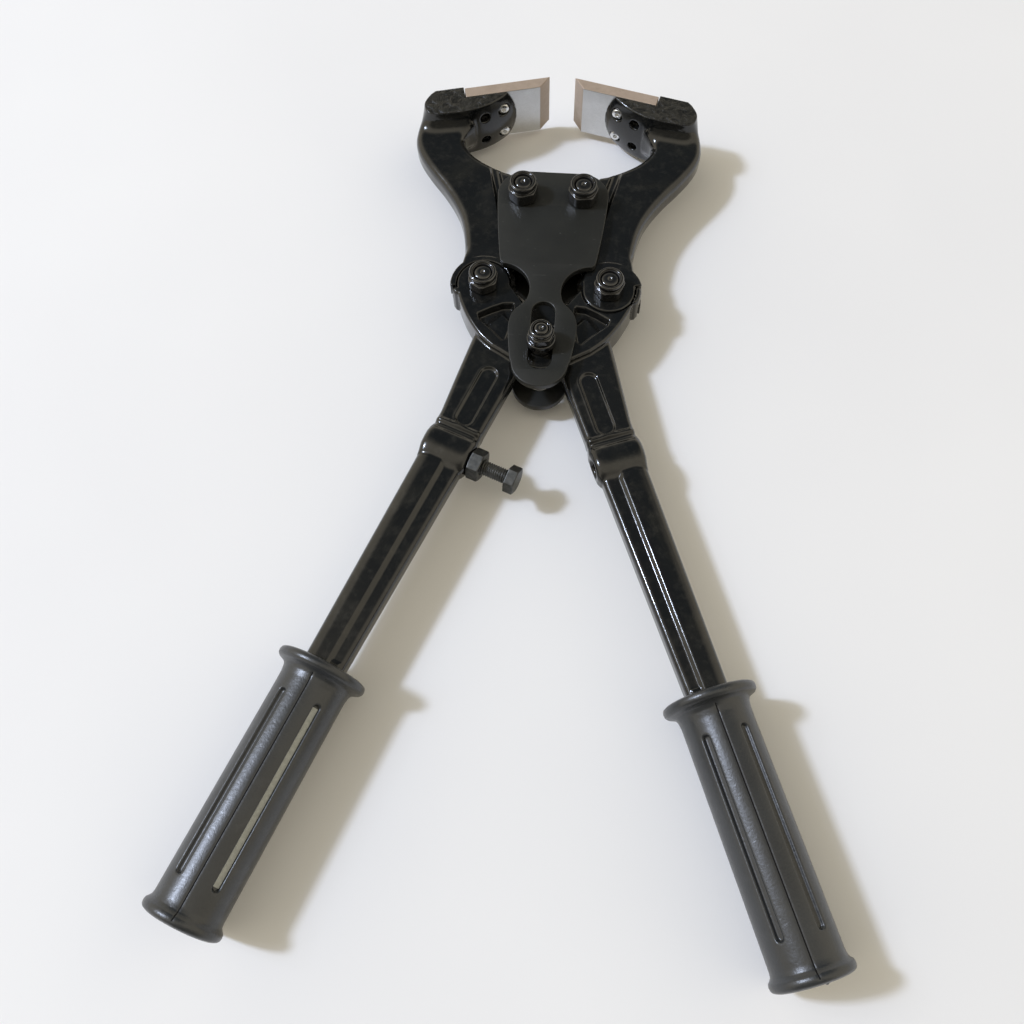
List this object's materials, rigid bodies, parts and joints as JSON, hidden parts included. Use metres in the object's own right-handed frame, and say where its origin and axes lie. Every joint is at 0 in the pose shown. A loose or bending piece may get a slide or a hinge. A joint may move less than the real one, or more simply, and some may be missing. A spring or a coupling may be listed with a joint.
{
  "type": "compound-lever end cutter",
  "caption": "Long-handled compound-lever cutter: forged jaws with straight bevelled blades, link plates, a sliding centre pivot, rubber grips and a stop bolt.",
  "frame": {"origin": "on the rear link plate's outer face, on the tool's centre line, 22 mm short of the jaw pivots' line and 75 mm from the handles' common pivot, with the jaws open as at rest", "axes": "+Y along the tool's centre line towards the blades, +Z along every pivot axis towards the side that carries the nuts, +X to the right when seen from the nut side with the blades away"},
  "size_m": [0.3068, 0.4875, 0.0499],
  "materials": {
    "forging": "gloss black enamel over a forging",
    "plate": "satin dark coating",
    "oxide": "black oxide, glossy",
    "steel": "ground tool steel",
    "screw": "bright cap screw",
    "stop": "dull zinc, satin grey",
    "rubber": "satin moulded rubber"
  },
  "bodies": {
    "link_plates": {"front_link_plate": "plate", "rear_link_plate": "plate", "left_jaw_bolt": "oxide", "right_jaw_bolt": "oxide", "left_jaw_nut": "oxide", "right_jaw_nut": "oxide"},
    "left_jaw": {"left_jaw": "forging", "left_blade": "steel", "left_blade_screw_1": "screw", "left_blade_screw_2": "screw", "left_blade_screw_3": "screw", "left_blade_screw_4": "screw", "left_link_bolt": "oxide", "left_link_nut": "oxide"},
    "right_jaw": {"right_jaw": "forging", "right_blade": "steel", "right_blade_screw_1": "screw", "right_blade_screw_2": "screw", "right_blade_screw_3": "screw", "right_blade_screw_4": "screw", "right_link_bolt": "oxide", "right_link_nut": "oxide"},
    "centre_pivot": {"centre_bolt": "oxide", "centre_nut": "oxide", "front_slot_bush": "oxide", "rear_slot_bush": "oxide"},
    "left_handle": {"left_handle": "forging", "left_grip": "rubber", "stop_lock_nut": "stop"},
    "right_handle": {"right_handle": "forging", "right_grip": "rubber"},
    "stop_bolt": {"stop_bolt": "stop"}
  },
  "joints": [
    {"name": "left_handle_swing", "type": "hinge", "parent": "centre_pivot", "child": "left_handle", "pos_m": [0, -0.075, 0.0133], "axis": [0, 0, 1], "range_deg": [-1, 7.5]},
    {"name": "right_handle_swing", "type": "hinge", "parent": "centre_pivot", "child": "right_handle", "pos_m": [0, -0.075, 0.0133], "axis": [0, 0, 1], "range_deg": [-7.6, 1.1]},
    {"name": "centre_pivot_slide", "type": "slide", "parent": "link_plates", "child": "centre_pivot", "axis": [0, 1, 0], "range_m": [-0.0009, 0.0065]},
    {"name": "left_jaw_swing", "type": "hinge", "parent": "link_plates", "child": "left_jaw", "pos_m": [-0.017, 0.022, 0.0133], "axis": [0, 0, 1], "range_deg": [-4.85, 0.7]},
    {"name": "right_jaw_swing", "type": "hinge", "parent": "link_plates", "child": "right_jaw", "pos_m": [0.017, 0.022, 0.0133], "axis": [0, 0, 1], "range_deg": [-0.7, 4.85]},
    {"name": "stop_bolt_travel", "type": "slide", "parent": "left_handle", "child": "stop_bolt", "axis": [0.9336, -0.3584, 0], "range_m": [-0.006, 0.008]}
  ],
  "couplings": [
    {"joint": "right_handle_swing", "follows": "left_handle_swing", "ratio": -1},
    {"joint": "left_jaw_swing", "follows": "left_handle_swing", "ratio": -0.64},
    {"joint": "right_jaw_swing", "follows": "left_handle_swing", "ratio": 0.64},
    {"joint": "centre_pivot_slide", "follows": "left_handle_swing", "m_per_rad": 0.0492}
  ]
}
